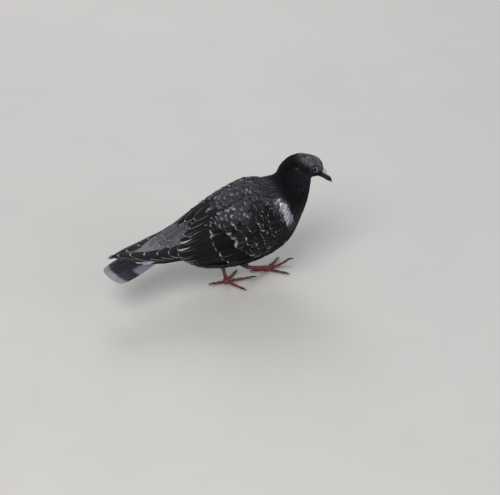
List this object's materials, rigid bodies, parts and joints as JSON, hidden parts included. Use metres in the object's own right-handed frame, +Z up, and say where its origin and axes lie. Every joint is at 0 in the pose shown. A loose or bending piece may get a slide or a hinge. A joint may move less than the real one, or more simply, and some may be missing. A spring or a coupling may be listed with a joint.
{
  "type": "pigeon",
  "caption": "Still life-size pigeon in mid-stride, dark slate plumage with pale-edged wing coverts, banded tail, red feet and black bill.",
  "frame": {"origin": "on the floor, at the middle of the flat underside of the planted right foot's joint", "axes": "+X towards the bill along the direction of walking, +Y to the bird's left, +Z up"},
  "size_m": [0.2717, 0.0918, 0.1536],
  "materials": {
    "dark_feather": "dark slate body feathers, soft and matt",
    "head_feather": "fine dark slate feathers with a grey frosting",
    "neck_feather": "black feathers with a faint iridescent gloss",
    "wing_feather": "smooth dark slate vanes with pale edges",
    "tail_feather": "blue-grey vanes with a dark band and a pale tip",
    "thigh_feather": "short soft slate feathers",
    "leg_skin": "scaled dull red skin",
    "claw_horn": "black horn",
    "bill_horn": "black horn, satin",
    "cere_skin": "whitish powdery skin",
    "eye_gloss": "dark, wet and clear"
  },
  "bodies": {
    "root": {"bill_lower": "bill_horn", "bill_upper": "bill_horn", "cere": "cere_skin", "claw_left_hind": "claw_horn", "claw_left_inner": "claw_horn", "claw_left_middle": "claw_horn", "claw_left_outer": "claw_horn", "claw_right_hind": "claw_horn", "claw_right_inner": "claw_horn", "claw_right_middle": "claw_horn", "claw_right_outer": "claw_horn", "eye_left": "eye_gloss", "eye_right": "eye_gloss", "head": "head_feather", "neck": "neck_feather", "shank_left": "leg_skin", "shank_right": "leg_skin", "tail": "tail_feather", "thigh_left": "thigh_feather", "thigh_right": "thigh_feather", "toe_left_hind": "leg_skin", "toe_left_inner": "leg_skin", "toe_left_middle": "leg_skin", "toe_left_outer": "leg_skin", "toe_right_hind": "leg_skin", "toe_right_inner": "leg_skin", "toe_right_middle": "leg_skin", "toe_right_outer": "leg_skin", "trunk": "dark_feather", "wing_left": "wing_feather", "wing_right": "wing_feather"}
  },
  "joints": []
}
